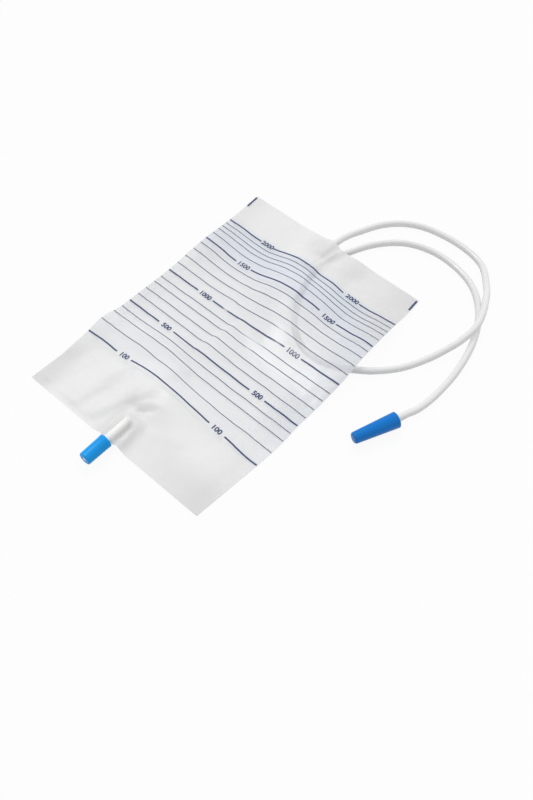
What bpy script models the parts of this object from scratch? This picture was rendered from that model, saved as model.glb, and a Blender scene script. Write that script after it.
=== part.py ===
"""Urine drainage bag, 2000 ml, lying empty on its back with its inlet tube in a loop beside it.

Metres, +Z up. +Y runs from the outlet to the inlet. The origin is on the floor, under the middle of the bag
and its outlet. Sizes below are in millimetres, and plan places are measured from the middle of the film.
"""

import math

import bmesh
import bpy
import numpy as np
from mathutils import Matrix, Vector

MM = 0.001

# Where the middle of the film lies, from the origin
FILM_X = -4.9
FILM_Y = 13.5

# Film
FILM_THICK = 0.3
WELD_GAP = 0.3
WELD_WIDTH = 5.0
MOST_GAP = 3.5
GAP_GROWTH = 14.0
FLAT_AIR = 0.5
TOP_Y = 148.0
BOTTOM_Y = -147.8
TOP_DIP = 1.8
COARSE_STEP = 9.5
FINE_STEP = 3.5
FINE_BAND = (-16.0, 26.0)
EDGE_BAND = 24.0
SEAM_LIFT_WIDTH = 34.0
INLET_OPENING = (5.0, 9.6)
OUTLET_OPENING = (5.9, 12.5)
OPENING_RUN = 9.0

# Non-return valve: two thin flaps inside the bag, open round the tube's end and closed at their slit
VALVE_ROWS = (99.0, 105.0, 110.0, 114.0, 118.0, 122.0, 126.0, 130.0, 133.5)
VALVE_HALF_WIDTH = 9.5
VALVE_COLUMNS = 13
VALVE_SKIN = 0.25
VALVE_SLIT = 0.15
VALVE_OPENING = (3.75, 8.5)
VALVE_OPENS_AT = 117.0

# Tube
TUBE_D = 6.5
TUBE_R = TUBE_D / 2
TUBE_STEP = 14.0

# Outlet: a fixed white stem and the blue sleeve that slides on it
OUTLET_X = -1.8
OUTLET_Z = 6.65
STEM_R = 4.0
STEM_BORE_R = 2.6
STEM_INNER_Y = -122.5
STEM_BORE_LENGTH = 43.5
STEM_SHOULDER = 45.5
STEM_LENGTH = 51.7
STEM_TIP_R = 2.3
BEAD_R = 4.45
BEAD_START = 36.8
BEAD_LENGTH = 2.5
WINDOW_MIDDLE = 41.6
WINDOW_SIZE = (12.0, 2.6, 3.2)
SLEEVE_WIDE_Y = -149.0
SLEEVE_LENGTH = 26.0
SLEEVE_WIDE_R = 6.55
SLEEVE_NARROW_R = 5.2
SLEEVE_RIM = 1.9
SLEEVE_LIP_R = 4.3
SLEEVE_CHAMBER_R = 4.75
SLEEVE_HOLE_R = 2.65

# Inlet connector and the cap on it
CAP_WIDE = (165.9, 29.9)
CAP_AXIS = (-0.36, -0.933)
CAP_Z = 6.6
CAP_LENGTH = 46.0
CAP_WIDE_R = 6.5
CAP_NARROW_R = 5.0
CAP_WALL = 1.1
CONNECTOR_START = 2.5
CONNECTOR_LENGTH = 39.0
FIT_GAP = 0.3

TURNED_STEPS = 32

# The tube's route: from its end inside the bag, out at the top, round in a wide loop, under the bag's right
# edge, out again at the top, and round inside the first loop to the connector
TUBE_ROUTE = [
    (2.1, 130.0, 9.4),
    (2.1, 148.0, 8.0),
    (3.1, 160.0, 6.2),
    (6.6, 174.0, 4.2),
    (18.7, 199.5, 3.3),
    (36.8, 217.0, 3.3),
    (60.0, 226.0, 3.3),
    (92.0, 228.0, 3.3),
    (120.0, 221.0, 3.3),
    (140.5, 199.0, 5.6),
    (149.7, 183.0, 8.7),
    (156.2, 168.5, 10.2),
    (159.9, 156.5, 10.3),
    (160.9, 144.0, 10.2),
    (158.6, 128.0, 8.6),
    (153.8, 114.5, 5.8),
    (147.0, 97.5, 3.5),
    (136.0, 75.5, 3.3),
    (121.0, 57.5, 3.3),
    (106.5, 46.0, 3.3),
    (91.0, 37.0, 3.3),
    (72.0, 31.8, 3.3),
    (53.0, 35.0, 3.3),
    (36.0, 46.5, 3.3),
    (23.5, 63.5, 3.3),
    (14.0, 82.5, 3.3),
    (8.6, 104.0, 3.3),
    (10.4, 127.0, 3.3),
    (16.3, 149.0, 3.3),
    (30.4, 176.0, 3.3),
    (53.0, 196.6, 3.3),
    (85.4, 204.3, 3.3),
    (122.3, 196.5, 3.3),
    (148.5, 175.0, 3.3),
    (165.5, 143.0, 3.3),
    (173.8, 107.0, 3.3),
    (175.2, 74.0, 3.5),
    (172.9, 50.5, 5.0),
    (168.6, 36.9, 6.5),
]
HIDDEN_STRETCH = (19, 30)

# The film's folds: each is a line of (x, y, height) along the crest, then how wide its left and right
# sides are
DIAGONAL_CREST = [(108, 46, 2), (90, 36, 5), (70, 31, 7), (50, 34, 9.5), (36, 42, 12), (30, 53, 13)]
DIAGONAL_CREST += [(17, 72, 14.5)]
FOLDS = [
    (DIAGONAL_CREST, 38, 34),
    ([(17, 72, 14.5), (9, 90, 13), (5, 106, 11.5), (6, 128, 9), (9, 142, 7.5), (9, 152, 7.4)], 32, 12),
    ([(26, 118, 5), (30, 103, 7.5), (40, 86, 4.5), (52, 74, 1)], 14, 14),
    ([(-2, 34, 2), (-4, 5, 3), (-6, -35, 1.5)], 5, 22),
    ([(-102, -62, 2), (-72, -63, 5), (-48, -54, 6.5), (-30, -50, 7.5), (-14, -60, 7)], 13, 13),
    ([(-20, -98, 2), (-42, -118, 2.6), (-58, -136, 0.5)], 7, 7),
    ([(-48, -92, 2), (-72, -108, 2.4), (-88, -122, 0.5)], 8, 8),
    ([(-10, -110, 1), (-20, -126, 2.6), (-26, -142, 1)], 6, 6),
    ([(20, -104, 2), (36, -120, 2.4), (52, -138, 0.5)], 8, 8),
    ([(40, -92, 1), (66, -100, 2.2), (86, -116, 0.5)], 9, 9),
]
FOLD_SHAPE = 2.6
EDGE_CURL_WIDTH = 26.0
RIGHT_CURL = [(148, 0), (125, 4), (105, 8), (70, 9.5), (40, 9.5), (20, 7), (5, 4.5), (-12, 1.5), (-40, 0.5)]
RIGHT_CURL += [(-148, 0)]
LEFT_CURL = [(148, 0), (105, 2.5), (70, 6), (50, 4.5), (20, 0.5), (-20, 0.5), (-45, 1), (-64, 4.5), (-85, 4)]
LEFT_CURL += [(-115, 0)]
DOME_MIDDLE = (2.0, -84.0)
DOME_HEIGHT = 14.5
DOME_WIDTHS = (50.0, 17.0, 30.0)

# Where the side edges lie, because the folds draw the film in at its ends
LEFT_EDGE = [(148, -101.3), (110, -98.5), (65, -97.3), (30, -98.5), (-50, -100), (-90, -98.8)]
LEFT_EDGE += [(-147.8, -100.8)]
RIGHT_EDGE = [(148, 101.3), (120, 106), (65, 110.3), (35, 111), (0, 108.4), (-30, 106.6), (-65, 107.2)]
RIGHT_EDGE += [(-147.8, 100.4)]

COLOURS = {
    "clear_film": ((0.86, 0.87, 0.89, 1.0), 0.25),
    "valve_film": ((0.84, 0.85, 0.86, 1.0), 0.3),
    "tube_pvc": ((0.80, 0.81, 0.82, 1.0), 0.2),
    "white_plastic": ((0.88, 0.88, 0.87, 1.0), 0.35),
    "blue_plastic": ((0.02, 0.22, 0.72, 1.0), 0.3),
}


def soft_step(value):
    """0 below 0, 1 above 1, and smooth between."""
    part = np.clip(value, 0.0, 1.0)
    return part * part * (3.0 - 2.0 * part)


def bell(value):
    """1 at 0, falling smoothly to almost nothing at 2."""
    return np.exp(-np.square(value))


def smooth_line(points, parts):
    """A smooth curve through the points, as an array with so many parts in each span."""
    known = np.array(points, float)
    known = np.vstack([2 * known[0] - known[1], known, 2 * known[-1] - known[-2]])
    found = []
    for a, b, c, d in zip(known, known[1:], known[2:], known[3:]):
        for t in np.arange(parts) / parts:
            curved = (2 * a - 5 * b + 4 * c - d) * t * t + (3 * b - a - 3 * c + d) * t**3
            found.append(0.5 * (2 * b + (c - a) * t + curved))
    found.append(known[-2])
    return np.array(found)


def nearest(line, x, y):
    """For each place: its distance from the line, its side (left is positive) and the line's height."""
    distance = np.full(x.shape, 1e9)
    side = np.zeros(x.shape)
    height = np.zeros(x.shape)
    for start, end in zip(line, line[1:]):
        run = end[:2] - start[:2]
        share = ((x - start[0]) * run[0] + (y - start[1]) * run[1]) / max(run @ run, 1e-9)
        share = np.clip(share, 0.0, 1.0)
        dx = x - start[0] - share * run[0]
        dy = y - start[1] - share * run[1]
        here = np.hypot(dx, dy)
        closer = here < distance
        distance = np.where(closer, here, distance)
        side = np.where(closer, run[0] * dy - run[1] * dx, side)
        height = np.where(closer, start[2] + share * (end[2] - start[2]), height)
    return distance, side, height


def along_edge(table, y):
    """The value at y of a table of (y, value) points, top first."""
    line = smooth_line(table, 4)[::-1]
    return np.interp(y, line[:, 0], line[:, 1])


def top_edge(x):
    return TOP_Y - TOP_DIP * bell((x - 9.0) / 28.0)


def fold_height(x, y):
    """How high the folds lift the film, before the pieces inside it."""
    height = np.zeros(x.shape)
    for crest, left, right in FOLDS:
        distance, side, rise = nearest(smooth_line(crest, 3), x, y)
        share = distance / np.where(side > 0, left, right)
        height = np.maximum(height, rise * np.exp(-(share**FOLD_SHAPE)))
    dome_x, dome_y = x - DOME_MIDDLE[0], y - DOME_MIDDLE[1]
    depth = np.where(dome_y > 0, DOME_WIDTHS[1], DOME_WIDTHS[2])
    height = height + DOME_HEIGHT * bell(dome_x / DOME_WIDTHS[0]) * bell(dome_y / depth)
    from_right = along_edge(RIGHT_EDGE, y) - x
    from_left = x - along_edge(LEFT_EDGE, y)
    height = height + along_edge(RIGHT_CURL, y) * bell(from_right / EDGE_CURL_WIDTH)
    return height + along_edge(LEFT_CURL, y) * bell(from_left / EDGE_CURL_WIDTH)


def from_weld(x, y):
    """How far inside the welded border a place is."""
    sides = np.minimum(x - along_edge(LEFT_EDGE, y), along_edge(RIGHT_EDGE, y) - x)
    ends = np.minimum(top_edge(x) - y, y - BOTTOM_Y)
    return np.minimum(sides, ends) - WELD_WIDTH


def lens(distance, half_height, half_width):
    """Half the height of the opening that two films leave around a round thing between them."""
    inside = np.abs(distance) < half_width
    return np.where(inside, half_height * np.cos(distance * math.pi / 2 / half_width) ** 2, 0.0)


def tube_roof(x, y):
    """How high the back film passes over the tube's hidden stretch: steeply only beside the inlet."""
    hidden = smooth_line(TUBE_ROUTE[HIDDEN_STRETCH[0] : HIDDEN_STRETCH[1]], 3)
    distance, _, _ = nearest(hidden, x, y)
    spread = 5.6 + 7.5 * soft_step((122.0 - y) / 20.0)
    over = TUBE_R + 4.0 * np.sqrt(np.clip(1.0 - np.square(distance / spread), 0.0, 1.0))
    beside = TUBE_R * (1.0 - soft_step((distance - spread) / 6.0))
    return np.where(distance < spread, over, beside)


def films_at(x, y):
    """The underside of the back film and the top of the front film, in mm above the floor."""
    inside = from_weld(x, y)
    grown = soft_step(inside / GAP_GROWTH)
    room = WELD_GAP + (MOST_GAP - WELD_GAP) * grown
    least = 2 * FILM_THICK + WELD_GAP
    seam_half = least / 2
    top = least + FLAT_AIR * grown + fold_height(x, y)
    roof = tube_roof(x, y)
    top = np.maximum(top, roof + least + 0.05)
    # The stem holds the bottom seam up on both sides of itself
    seam = OUTLET_Z * lens(x - OUTLET_X, 1.0, SEAM_LIFT_WIDTH) * soft_step((-112.0 - y) / 20.0)
    top = np.maximum(top, seam + seam_half)
    under = np.maximum(np.maximum(top - least + WELD_GAP - room, roof), seam - seam_half)
    # Both films open around the inlet tube and around the outlet stem
    inlet_z = np.interp(y, [TUBE_ROUTE[0][1], TOP_Y], [TUBE_ROUTE[0][2], TUBE_ROUTE[1][2]])
    for axis_x, axis_z, opening, share in (
        (TUBE_ROUTE[0][0], inlet_z, INLET_OPENING, soft_step((y - 110.0) / OPENING_RUN)),
        (OUTLET_X, OUTLET_Z, OUTLET_OPENING, soft_step((-108.0 - y) / OPENING_RUN)),
    ):
        half = lens(x - axis_x, *opening) * share
        shown = soft_step(half / 1.2)
        top = np.maximum(top, (axis_z + half + FILM_THICK) * shown)
        under = np.where(half > 0.05, np.minimum(under, axis_z - half - FILM_THICK), under)
    under = np.clip(np.minimum(under, top - least), 0.0, None)
    return under, top


def steps_between(low, high, step):
    count = max(1, round((high - low) / step))
    return [low + (high - low) * i / count for i in range(count)]


def grid_columns():
    """Shares of the width, 0 at the left edge: closer together over the inlet and the outlet."""
    low, high = -100.0, 100.0
    places = steps_between(low, FINE_BAND[0], COARSE_STEP)
    places += steps_between(FINE_BAND[0], FINE_BAND[1], FINE_STEP)
    places += steps_between(FINE_BAND[1], high, COARSE_STEP)
    places.append(high)
    return [(place - low) / (high - low) for place in places]


def grid_rows():
    """Shares of the length, 0 at the bottom edge: closer together near both ends."""
    places = steps_between(BOTTOM_Y, BOTTOM_Y + EDGE_BAND, COARSE_STEP / 1.6)
    places += steps_between(BOTTOM_Y + EDGE_BAND, TOP_Y - EDGE_BAND, COARSE_STEP)
    places += steps_between(TOP_Y - EDGE_BAND, TOP_Y, COARSE_STEP / 1.6)
    places.append(TOP_Y)
    return [(place - BOTTOM_Y) / (TOP_Y - BOTTOM_Y) for place in places]


def film_grid():
    """Plan places of the films' grid, as two arrays, one row for each step along the length."""
    across, upward = np.meshgrid(grid_columns(), grid_rows())
    y = BOTTOM_Y + upward * (TOP_Y - BOTTOM_Y)
    left, right = along_edge(LEFT_EDGE, y), along_edge(RIGHT_EDGE, y)
    x = left + across * (right - left)
    # The fine columns stay straight above the inlet and the outlet
    straight = -100.0 + 200.0 * across
    x = straight + (x - straight) * soft_step((np.abs(straight - 5.0) - 20.0) / 60.0)
    return x, BOTTOM_Y + upward * (top_edge(x) - BOTTOM_Y)


def in_world(x, y, z):
    return Vector(((x + FILM_X) * MM, (y + FILM_Y) * MM, z * MM))


def plastic(name):
    colour, roughness = COLOURS[name]
    material = bpy.data.materials.get(name)
    if material is None:
        material = bpy.data.materials.new(name)
        material.use_nodes = True
        shader = material.node_tree.nodes["Principled BSDF"]
        shader.inputs["Base Color"].default_value = colour
        shader.inputs["Roughness"].default_value = roughness
        shader.inputs["Metallic"].default_value = 0.0
    return material


def add_mesh(name, shape, material, sharp_above=35.0):
    """Makes an object from a finished bmesh."""
    bmesh.ops.recalc_face_normals(shape, faces=shape.faces)
    mesh = bpy.data.meshes.new(name)
    shape.to_mesh(mesh)
    shape.free()
    mesh.shade_smooth()
    mesh.set_sharp_from_angle(angle=math.radians(sharp_above))
    thing = bpy.data.objects.new(name, mesh)
    thing.data.materials.append(plastic(material))
    bpy.context.collection.objects.link(thing)
    return thing


def join_loops(shape, first, second):
    """Faces between two closed loops of equal length."""
    for i, vertex in enumerate(first):
        after = (i + 1) % len(first)
        shape.faces.new((vertex, first[after], second[after], second[i]))


def make_film(name, x, y, low, high, material):
    """A sheet between two heights over the same plan grid."""
    shape = bmesh.new()
    rows, columns = x.shape
    skins = []
    for heights in (low, high):
        skin = []
        for row in zip(x, y, heights):
            skin.append([shape.verts.new(in_world(*place)) for place in zip(*row)])
        skins.append(skin)
    for skin in skins:
        for r in range(rows - 1):
            for c in range(columns - 1):
                a, b, d, e = skin[r][c], skin[r][c + 1], skin[r + 1][c + 1], skin[r + 1][c]
                shape.faces.new((a, b, d))
                shape.faces.new((a, d, e))
    borders = []
    for skin in skins:
        border = [skin[0][c] for c in range(columns)]
        border += [skin[r][columns - 1] for r in range(1, rows)]
        border += [skin[rows - 1][c] for c in range(columns - 2, -1, -1)]
        border += [skin[r][0] for r in range(rows - 2, 0, -1)]
        borders.append(border)
    join_loops(shape, borders[0], borders[1])
    return add_mesh(name, shape, material, 60.0)


def make_films():
    x, y = film_grid()
    under, top = films_at(x, y)
    make_film("back_film", x, y, under, under + FILM_THICK, "clear_film")
    make_film("front_film", x, y, top - FILM_THICK, top, "clear_film")


def make_valve():
    """The non-return valve: two thin flaps welded along their sides, over the tube's end inside the bag."""
    across = np.linspace(-VALVE_HALF_WIDTH, VALVE_HALF_WIDTH, VALVE_COLUMNS)
    x_line = TUBE_ROUTE[0][0] + across
    at_sides = np.where(np.abs(across) > VALVE_HALF_WIDTH - 0.1, np.sign(across), 0.0)
    shape = bmesh.new()
    rings = []
    for y in VALVE_ROWS:
        under, top = films_at(x_line, np.full(across.shape, y))
        middle = (under + top) / 2
        opening = VALVE_SLIT + lens(across, *VALVE_OPENING) * soft_step((y - VALVE_OPENS_AT) / OPENING_RUN)
        loops = []
        for grown in (0.0, VALVE_SKIN):
            wide = x_line + grown * at_sides
            upper = [shape.verts.new(in_world(a, y, b)) for a, b in zip(wide, middle + opening + grown)]
            lower = [shape.verts.new(in_world(a, y, b)) for a, b in zip(wide, middle - opening - grown)]
            loops.append(upper + lower[::-1])
        rings.append(loops)
    for before, after in zip(rings, rings[1:]):
        join_loops(shape, before[0], after[0])
        join_loops(shape, before[1], after[1])
    join_loops(shape, rings[0][0], rings[0][1])
    join_loops(shape, rings[-1][0], rings[-1][1])
    return add_mesh("non_return_valve", shape, "valve_film", 60.0)


def make_tube():
    """The inlet tube, as a curve with a point every two diameters."""
    dense = smooth_line(TUBE_ROUTE + [connector_place(CONNECTOR_START - FIT_GAP)], 12)
    reach = np.concatenate([[0.0], np.cumsum(np.linalg.norm(np.diff(dense, axis=0), axis=1))])
    count = round(reach[-1] / TUBE_STEP)
    places = np.linspace(0.0, reach[-1], count + 1)
    route = np.stack([np.interp(places, reach, dense[:, i]) for i in range(3)], axis=1)
    curve = bpy.data.curves.new("inlet_tube", "CURVE")
    curve.dimensions = "3D"
    curve.bevel_depth = TUBE_R * MM
    curve.bevel_resolution = 3
    curve.use_fill_caps = True
    spline = curve.splines.new("POLY")
    spline.points.add(len(route) - 1)
    for point, place in zip(spline.points, route):
        point.co = (*in_world(*place), 1.0)
    spline.use_smooth = True
    thing = bpy.data.objects.new("inlet_tube", curve)
    curve.materials.append(plastic("tube_pvc"))
    bpy.context.collection.objects.link(thing)
    return thing


def make_turned(name, profile, place, direction, material):
    """A piece turned from a closed outline of (radius, distance along the axis), both in mm."""
    shape = bmesh.new()
    outline = [shape.verts.new((radius * MM, 0.0, reach * MM)) for radius, reach in profile]
    edges = [shape.edges.new((outline[i], outline[(i + 1) % len(outline)])) for i in range(len(outline))]
    bmesh.ops.spin(
        shape,
        geom=outline + edges,
        axis=(0.0, 0.0, 1.0),
        cent=(0.0, 0.0, 0.0),
        angle=2 * math.pi,
        steps=TURNED_STEPS,
        use_merge=True,
    )
    bmesh.ops.remove_doubles(shape, verts=shape.verts, dist=1e-6)
    bmesh.ops.dissolve_degenerate(shape, edges=shape.edges, dist=1e-7)
    thing = add_mesh(name, shape, material)
    turn = Vector(direction).to_track_quat("Z", "Y").to_matrix().to_4x4()
    thing.matrix_world = Matrix.Translation(place) @ turn
    return thing


def rounded(corner, radius, start_angle, end_angle, parts=3):
    """Points of an arc about a centre, in degrees, for a turned outline."""
    found = []
    for i in range(parts + 1):
        angle = math.radians(start_angle + (end_angle - start_angle) * i / parts)
        found.append((corner[0] + radius * math.cos(angle), corner[1] + radius * math.sin(angle)))
    return found


def connector_place(reach):
    """A point on the connector's axis, so far in from the cap's mouth."""
    return (CAP_WIDE[0] + CAP_AXIS[0] * reach, CAP_WIDE[1] + CAP_AXIS[1] * reach, CAP_Z)


def make_connector():
    """The stepped taper that goes into a catheter: a collar, three steps and a bore right through."""
    step_length = (CONNECTOR_LENGTH - 9.0) / 3
    profile = [(2.2, 0.0), (4.6, 0.0), (4.9, 0.4), (4.9, 8.0), (4.4, 8.6)]
    for i in range(3):
        start = 8.6 + i * step_length
        thick, thin = 4.35 - 0.42 * i, 3.95 - 0.42 * i
        profile += [(thick, start + 0.9), (thin, start + step_length - 0.4)]
    profile += [(2.75, CONNECTOR_LENGTH), (1.9, CONNECTOR_LENGTH)]
    place = in_world(*connector_place(CONNECTOR_START))
    return make_turned("tube_connector", profile, place, (*CAP_AXIS, 0.0), "white_plastic")


def make_cap():
    """The blue cap over the connector: a long taper, closed and rounded at its narrow end."""
    lip, nose = 0.8, 2.2
    inner_mouth = CAP_WIDE_R - CAP_WALL
    inner_end = CAP_NARROW_R - CAP_WALL
    profile = [(0.0, CAP_LENGTH)]
    profile += rounded((CAP_NARROW_R - nose, CAP_LENGTH - nose), nose, 90.0, 5.0)
    profile += rounded((CAP_WIDE_R - lip, lip), lip, 5.0, -90.0)
    profile += [(inner_mouth + 0.2, 0.0), (inner_mouth, 0.5), (inner_mouth, 11.0)]
    profile += [(inner_end, CAP_LENGTH - 3.2), (inner_end - 0.8, CAP_LENGTH - 2.4), (0.0, CAP_LENGTH - 2.4)]
    return make_turned("connector_cap", profile, in_world(*CAP_WIDE, CAP_Z), (*CAP_AXIS, 0.0), "blue_plastic")


def make_stem():
    """The white outlet stem: open inside the bag and closed at its tip, with a window on each side."""
    chamfer = 0.5
    profile = [(STEM_BORE_R, 0.0), (STEM_R - chamfer, 0.0), (STEM_R, chamfer), (STEM_R, BEAD_START)]
    profile += [(BEAD_R, BEAD_START + chamfer), (BEAD_R, BEAD_START + BEAD_LENGTH - chamfer)]
    profile += [(STEM_R, BEAD_START + BEAD_LENGTH), (STEM_R, STEM_SHOULDER - 1.2), (3.0, STEM_SHOULDER)]
    profile += [(STEM_TIP_R, STEM_SHOULDER + 1.0), (STEM_TIP_R, STEM_LENGTH - chamfer)]
    profile += [(STEM_TIP_R - 0.4, STEM_LENGTH), (0.0, STEM_LENGTH)]
    profile += [(0.0, STEM_BORE_LENGTH), (STEM_BORE_R, STEM_BORE_LENGTH - 1.0)]
    place = in_world(OUTLET_X, STEM_INNER_Y, OUTLET_Z)
    stem = make_turned("outlet_stem", profile, place, (0, -1, 0), "white_plastic")
    bpy.ops.mesh.primitive_cube_add(size=1.0)
    window = bpy.context.object
    window.name = "stem_window_cutter"
    window.scale = [side * MM for side in WINDOW_SIZE]
    window.location = in_world(OUTLET_X, STEM_INNER_Y - WINDOW_MIDDLE, OUTLET_Z)
    window.hide_render = True
    window.display_type = "WIRE"
    cut = stem.modifiers.new("windows", "BOOLEAN")
    cut.operation = "DIFFERENCE"
    cut.solver = "EXACT"
    cut.object = window
    return stem


def make_sleeve():
    """The blue sleeve: pulled outwards it draws its end hole off the stem's tip and lets the bag drain."""
    lip, nose, end = 0.5, 1.2, SLEEVE_LENGTH
    profile = rounded((SLEEVE_WIDE_R - lip, lip), lip, -90.0, 0.0, 2)
    profile += [(SLEEVE_WIDE_R, SLEEVE_RIM), (SLEEVE_WIDE_R - 0.35, SLEEVE_RIM + 0.4)]
    profile += rounded((SLEEVE_NARROW_R - nose, end - nose), nose, 5.0, 90.0)
    profile += [(SLEEVE_HOLE_R, end), (SLEEVE_HOLE_R, end - 3.6), (3.2, end - 4.4)]
    profile += [(SLEEVE_CHAMBER_R - 0.3, end - 7.6), (SLEEVE_CHAMBER_R, end - 9.0)]
    profile += [(SLEEVE_CHAMBER_R, 4.8), (SLEEVE_LIP_R, 4.2), (SLEEVE_LIP_R, 0.6), (SLEEVE_LIP_R + 0.4, 0.0)]
    place = in_world(OUTLET_X, SLEEVE_WIDE_Y, OUTLET_Z)
    return make_turned("outlet_sleeve", profile, place, (0, -1, 0), "blue_plastic")


def main():
    for thing in list(bpy.data.objects):
        bpy.data.objects.remove(thing, do_unlink=True)
    make_films()
    make_valve()
    make_tube()
    make_connector()
    make_cap()
    make_stem()
    make_sleeve()


main()
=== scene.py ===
"""Urine drainage bag, 2000 ml, lying empty on its back with its inlet tube in a loop beside it.

Laid out as a Blender add-on. Sizes are in millimetres in bag coordinates, measured from the middle of
the film, and in_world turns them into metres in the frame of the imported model.
"""

import math

import bmesh
import bpy
import numpy as np
from bpy.props import FloatProperty, PointerProperty, StringProperty
from mathutils import Matrix, Vector, noise


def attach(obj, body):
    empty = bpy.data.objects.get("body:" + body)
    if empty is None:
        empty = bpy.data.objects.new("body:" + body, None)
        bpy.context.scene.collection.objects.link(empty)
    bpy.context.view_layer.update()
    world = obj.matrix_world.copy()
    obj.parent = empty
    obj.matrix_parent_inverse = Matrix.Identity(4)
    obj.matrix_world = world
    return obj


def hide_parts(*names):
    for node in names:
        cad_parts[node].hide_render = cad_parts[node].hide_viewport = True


bl_info = {
    "name": "Urine drainage bag",
    "version": (1, 0, 0),
    "blender": (4, 5, 0),
    "location": "View3D > Sidebar > Drainage bag",
    "description": "Builds a urine drainage bag with its films, scale, tube and outlet on the packed frame",
    "category": "Object",
}

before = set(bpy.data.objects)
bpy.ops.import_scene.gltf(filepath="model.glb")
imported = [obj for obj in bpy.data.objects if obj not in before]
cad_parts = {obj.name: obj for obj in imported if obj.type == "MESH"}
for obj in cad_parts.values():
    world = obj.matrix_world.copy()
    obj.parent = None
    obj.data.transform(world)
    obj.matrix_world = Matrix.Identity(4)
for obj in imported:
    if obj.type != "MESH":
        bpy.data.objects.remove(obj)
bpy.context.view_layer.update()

MM = 0.001

# Where the middle of the film lies, from the frame's origin
FILM_X = -4.9
FILM_Y = 13.5

# Film: its thickness, its welded border, and how far the two sheets part inside that
FILM_THICK = 0.3
WELD_GAP = 0.3
WELD_WIDTH = 5
MOST_GAP = 3.5
GAP_GROWTH = 14
FLAT_AIR = 0.5
TOP_Y = 148
BOTTOM_Y = -147.8
# The top edge dips at the inlet: where, how deep and how wide
TOP_DIP = (12, 5.4, 24)
SEAM_LIFT_WIDTH = 16
# Half the height and half the width of the back film's opening round the tube and the stem
INLET_OPENING = (4.5, 9.6)
OUTLET_OPENING = (5.6, 12.5)
OPENING_RUN = 9
# The front film opens more gently than the back one: so much wider, and over so long a run
FRONT_WIDER = 1.6
FRONT_RUN = 16
# The film's mesh: half its width, its fine border, and the fine strip from the inlet to the outlet
GRID_HALF = 100
GRID_BORDER = 9
GRID_STRIP = (-12, 16)

# Inlet tube: its radii and its route from inside the bag to the cap
TUBE_R = 3.25
BORE_R = 2.25
BORE_HAZE = 0.2
TUBE_ROUTE = [
    (2.1, 130, 9.4), (2.1, 148, 8), (3.1, 160, 6.2), (6.6, 174, 4.2), (18.7, 199.5, 3.3),
    (36.8, 217, 3.3), (60, 226, 3.3), (92, 228, 3.3), (120, 221, 3.3), (140.5, 199, 5.6),
    (149.7, 183, 8.7), (156.2, 168.5, 10.2), (159.9, 156.5, 10.3), (160.9, 144, 10.2), (158.6, 128, 8.6),
    (153.8, 114.5, 5.8), (147, 97.5, 3.5), (136, 75.5, 3.3), (121, 57.5, 3.3), (106.5, 46, 3.3),
    (91, 37, 3.3), (72, 31.8, 3.3), (53, 35, 3.3), (36, 46.5, 3.3), (23.5, 63.5, 3.3),
    (14, 82.5, 3.3), (8.6, 104, 3.3), (10.4, 127, 3.3), (16.3, 149, 3.3), (30.4, 176, 3.3),
    (53, 196.6, 3.3), (85.4, 204.3, 3.3), (122.3, 196.5, 3.3), (148.5, 175, 3.3), (165.5, 143, 3.3),
    (173.8, 107, 3.3), (175.2, 74, 3.5), (172.9, 50.5, 5), (168.6, 36.9, 6.5),
]
# The points of the route that lie under the bag
HIDDEN_STRETCH = (19, 30)

# Outlet
OUTLET_X = -1.8
OUTLET_Z = 6.65
SLEEVE_WIDE_Y = -149.6
SLEEVE_LENGTH = 24.8

# Connector and cap: the middle of the cap's mouth, and the way in from there
CAP_WIDE = (166.2, 27.4)
CAP_AXIS = (-0.378, -0.926)
CAP_Z = 7.05
CAP_LENGTH = 42.5
CONNECTOR_START = 2.5
CONNECTOR_LENGTH = 36.5
FIT_GAP = 0.3
TURNED_STEPS = 96
# The specular level of polyethylene, which is a little waxy
WAXY = 0.25

# The film's broad folds: a crest of (x, y, height), then how wide its left and right sides are
FOLDS = [
    ([(108, 51, 2), (90, 44, 5), (70, 41, 7.8), (50, 43, 10), (36, 47, 12), (28, 56, 13), (17, 72, 14.5)],
     38, 42),
    ([(17, 72, 14.5), (9, 90, 13), (5, 106, 11.5), (6, 128, 9), (9, 142, 7.5), (9, 152, 7.4)], 32, 12),
    ([(26, 118, 5), (30, 103, 7.5), (40, 86, 4.5), (52, 74, 1)], 14, 14),
    ([(15, 121, 7.4), (18, 134, 7), (20, 152, 6.3)], 13, 22),
    ([(0, 34, 1.5), (-4, 14, 2.6), (-7, -8, 2.6), (-12, -32, 1.6)], 24, 5),
    ([(-102, -62, 1.5), (-72, -62, 4), (-48, -54, 5.6), (-30, -50, 6.4), (-14, -59, 5.8)], 17, 16),
]
FOLD_SHAPE = 2.6
FOLD_BLEND = 5
# From the top down, at each y: how high the long edges curl, and where they lie in plan
EDGE_CURL_WIDTH = 26
RIGHT_CURL = [
    (148, 0), (125, 4), (105, 8), (70, 9.5), (40, 9.5), (20, 7), (5, 4.5), (-12, 1.5), (-40, 0.5), (-148, 0),
]
LEFT_CURL = [
    (148, 0), (105, 2.5), (70, 6), (50, 4.5), (20, 0.5), (-20, 0.5), (-45, 1), (-64, 4.5), (-85, 4),
    (-115, 0),
]
LEFT_EDGE = [
    (148, -101.3), (110, -98.5), (65, -97.3), (30, -98.5), (-50, -100), (-90, -98.8), (-147.8, -100.8),
]
RIGHT_EDGE = [
    (148, 101.3), (120, 104.4), (95, 105.8), (65, 107.4), (35, 109.3), (20, 109.4), (0, 107.8), (-30, 106.2),
    (-65, 107), (-147.8, 100.4),
]
# The film inside the bend of the hidden tube: (x, y, height, width, length)
INNER_RISE = (72, 82, 3, 28, 36)
# The dome at the stem's inner end, and its length up and down the bag
DOME_MIDDLE = (2, -84)
DOME_HEIGHT = 14.5
DOME_WIDTH = 50
DOME_LENGTHS = (17, 30)

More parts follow.
